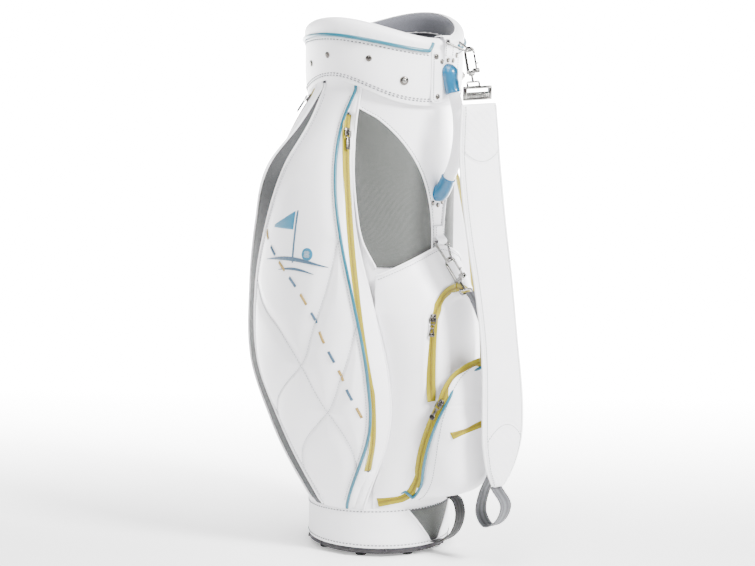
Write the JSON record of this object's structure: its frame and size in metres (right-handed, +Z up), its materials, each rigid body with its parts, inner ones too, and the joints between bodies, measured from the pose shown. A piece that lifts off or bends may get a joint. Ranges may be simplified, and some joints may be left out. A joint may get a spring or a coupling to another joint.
{
  "type": "golf staff bag",
  "caption": "Round golf staff bag with sewn zip pockets, stiff collar with club dividers, moulded base, carrying handle and padded shoulder strap on swivel hooks.",
  "frame": {"origin": "on the club tube's axis, on the base's central underside pad, at the level of the feet", "axes": "+Z up along the club tube; the front of the bag, with the handle, strap and ball pocket, faces -Y; +X is to the right as seen from the front"},
  "size_m": [0.379, 0.4374, 0.856],
  "materials": {
    "white_leatherette": "soft pebbled",
    "grey_mesh": "fine mesh",
    "lining": "plain weave",
    "zip_tape": "woven tape",
    "cyan_trim": "smooth",
    "webbing": "ribbed weave",
    "black_webbing": "ribbed weave",
    "base_plastic": "moulded, lightly textured",
    "foot_rubber": "moulded",
    "hardware": "polished nickel",
    "zip_metal": "dark nickel"
  },
  "bodies": {
    "bag": {"base_tray": "base_plastic", "base_feet": "foot_rubber", "base_band": "white_leatherette", "base_front_panel": "grey_mesh", "grab_loop": "black_webbing", "bag_tube": "white_leatherette", "top_lining": "lining", "collar_band": "white_leatherette", "rim_cushion": "white_leatherette", "collar_piping": "cyan_trim", "front_shield": "white_leatherette", "collar_studs": "zip_metal", "divider_frame": "base_plastic", "divider_walls": "lining", "side_pocket_left": "white_leatherette", "side_pocket_right": "white_leatherette", "side_face_left": "white_leatherette", "side_face_right": "white_leatherette", "side_band_left": "grey_mesh", "side_band_right": "grey_mesh", "side_zip_left": "zip_tape", "side_zip_right": "zip_tape", "rear_zip_left": "zip_tape", "rear_zip_right": "zip_tape", "mesh_panel_left": "grey_mesh", "mesh_panel_right": "grey_mesh", "accessory_pocket": "white_leatherette", "ball_pocket": "white_leatherette", "accessory_zip": "zip_tape", "ball_zip": "zip_tape", "valuables_zip": "zip_tape", "handle_grip": "white_leatherette", "handle_sleeve_upper": "cyan_trim", "handle_sleeve_lower": "cyan_trim", "handle_rivets": "zip_metal", "ring_tabs": "white_leatherette"},
    "side_left_slider": {"side_slider_left": "zip_metal"},
    "side_left_puller": {"side_puller_left": "zip_metal"},
    "side_right_slider": {"side_slider_right": "zip_metal"},
    "side_right_puller": {"side_puller_right": "zip_metal"},
    "rear_left_slider": {"rear_slider_left": "zip_metal"},
    "rear_left_puller": {"rear_puller_left": "zip_metal"},
    "rear_right_slider": {"rear_slider_right": "zip_metal"},
    "rear_right_puller": {"rear_puller_right": "zip_metal"},
    "accessory_slider": {"accessory_slider": "zip_metal"},
    "accessory_puller": {"accessory_puller": "zip_metal"},
    "ball_slider": {"ball_slider": "zip_metal"},
    "ball_puller": {"ball_puller": "zip_metal"},
    "valuables_slider": {"valuables_slider": "zip_metal"},
    "valuables_puller": {"valuables_puller": "zip_metal"},
    "strap": {"hook_swivels": "hardware", "strap_clasp": "hardware", "strap_pad": "white_leatherette", "strap_webbing": "webbing"},
    "hook_upper": {"snap_hook_upper": "hardware"},
    "hook_lower": {"snap_hook_lower": "hardware"},
    "gate_upper": {"gate_upper": "hardware"},
    "gate_lower": {"gate_lower": "hardware"},
    "ring_upper": {"d_ring_upper": "hardware"},
    "ring_lower": {"d_ring_lower": "hardware"}
  },
  "joints": [
    {"name": "side_left_zip_run", "type": "hinge", "parent": "bag", "child": "side_left_slider", "pos_m": [0.6512, 0.18596, 0.42595], "axis": [0.3031, -0.9425, 0.1404], "range_deg": [0, 28.3]},
    {"name": "side_left_puller_swing", "type": "hinge", "parent": "side_left_slider", "child": "side_left_puller", "pos_m": [-0.12262, -0.0292, 0.68134], "axis": [-0.9405, 0.2868, 0.182], "range_deg": [0, 125]},
    {"name": "side_right_zip_run", "type": "hinge", "parent": "bag", "child": "side_right_slider", "pos_m": [-0.6512, 0.18596, 0.42595], "axis": [0.3031, 0.9425, -0.1404], "range_deg": [0, 28.3]},
    {"name": "side_right_puller_swing", "type": "hinge", "parent": "side_right_slider", "child": "side_right_puller", "pos_m": [0.12262, -0.0292, 0.68134], "axis": [-0.9405, -0.2868, -0.182], "range_deg": [0, 125]},
    {"name": "rear_left_zip_run", "type": "hinge", "parent": "bag", "child": "rear_left_slider", "pos_m": [0.02401, -0.37153, 0.39285], "axis": [-0.9669, -0.2369, -0.0952], "range_deg": [0, 54.9]},
    {"name": "rear_left_puller_swing", "type": "hinge", "parent": "rear_left_slider", "child": "rear_left_puller", "pos_m": [-0.11739, 0.06073, 0.72824], "axis": [0.7143, 0.5881, 0.3794], "range_deg": [0, 150]},
    {"name": "rear_right_zip_run", "type": "hinge", "parent": "bag", "child": "rear_right_slider", "pos_m": [-0.02401, -0.37153, 0.39285], "axis": [-0.9669, 0.2369, 0.0952], "range_deg": [0, 54.9]},
    {"name": "rear_right_puller_swing", "type": "hinge", "parent": "rear_right_slider", "child": "rear_right_puller", "pos_m": [0.11739, 0.06073, 0.72824], "axis": [0.7143, -0.5881, -0.3794], "range_deg": [0, 150]},
    {"name": "accessory_zip_run", "type": "hinge", "parent": "bag", "child": "accessory_slider", "pos_m": [0.32271, -0.04568, 0.3019], "axis": [0.2706, -0.9626, 0.0155], "range_deg": [0, 14.3]},
    {"name": "accessory_puller_swing", "type": "hinge", "parent": "accessory_slider", "child": "accessory_puller", "pos_m": [-0.06052, -0.15299, 0.39408], "axis": [-0.4599, 0.8874, 0.0317], "range_deg": [0, 150]},
    {"name": "ball_zip_run", "type": "hinge", "parent": "bag", "child": "ball_slider", "pos_m": [0.1313, -0.17016, 0.19265], "axis": [-0.0897, -0.9424, -0.3223], "range_deg": [0, 36.6]},
    {"name": "ball_puller_swing", "type": "hinge", "parent": "ball_slider", "child": "ball_puller", "pos_m": [-0.07, -0.17621, 0.26324], "axis": [-0.1083, 0.9168, 0.3843], "range_deg": [0, 150]},
    {"name": "valuables_zip_run", "type": "hinge", "parent": "bag", "child": "valuables_slider", "pos_m": [0, -0.15007, 0.18147], "axis": [0, -0.5737, -0.819], "range_deg": [0, 75.4]},
    {"name": "valuables_puller_swing", "type": "hinge", "parent": "valuables_slider", "child": "valuables_puller", "pos_m": [0.04081, -0.21246, 0.22395], "axis": [-0.8796, -0.3896, 0.2729], "range_deg": [0, 120]},
    {"name": "strap_swing", "type": "hinge", "parent": "bag", "child": "strap", "pos_m": [0, -0.13758, 0.47447], "axis": [0, -0.0937, 0.9956], "range_deg": [-18, 18]},
    {"name": "upper_hook_swivel", "type": "hinge", "parent": "strap", "child": "hook_upper", "pos_m": [0, -0.16639, 0.80612], "axis": [0, 0.225, 0.9744], "range_deg": [-8, 8]},
    {"name": "upper_gate_press", "type": "hinge", "parent": "hook_upper", "child": "gate_upper", "pos_m": [0, -0.18386, 0.77937], "axis": [-1, 0, 0], "range_deg": [0, 22], "stiffness_Nm_per_rad": 0.02, "springref_deg": -17.19},
    {"name": "lower_hook_swivel", "type": "hinge", "parent": "strap", "child": "hook_lower", "pos_m": [0, -0.13566, 0.47286], "axis": [0, 0.6428, 0.766], "range_deg": [-8, 8]},
    {"name": "lower_gate_press", "type": "hinge", "parent": "hook_lower", "child": "gate_lower", "pos_m": [0, -0.16337, 0.45695], "axis": [-1, 0, 0], "range_deg": [0, 22], "stiffness_Nm_per_rad": 0.02, "springref_deg": -17.19},
    {"name": "upper_ring_flap", "type": "hinge", "parent": "bag", "child": "ring_upper", "pos_m": [0, -0.135, 0.819], "axis": [1, 0, 0], "range_deg": [0, 6]},
    {"name": "lower_ring_flap", "type": "hinge", "parent": "bag", "child": "ring_lower", "pos_m": [0, -0.1185, 0.505], "axis": [-1, 0, 0], "range_deg": [0, 2.5]}
  ]
}
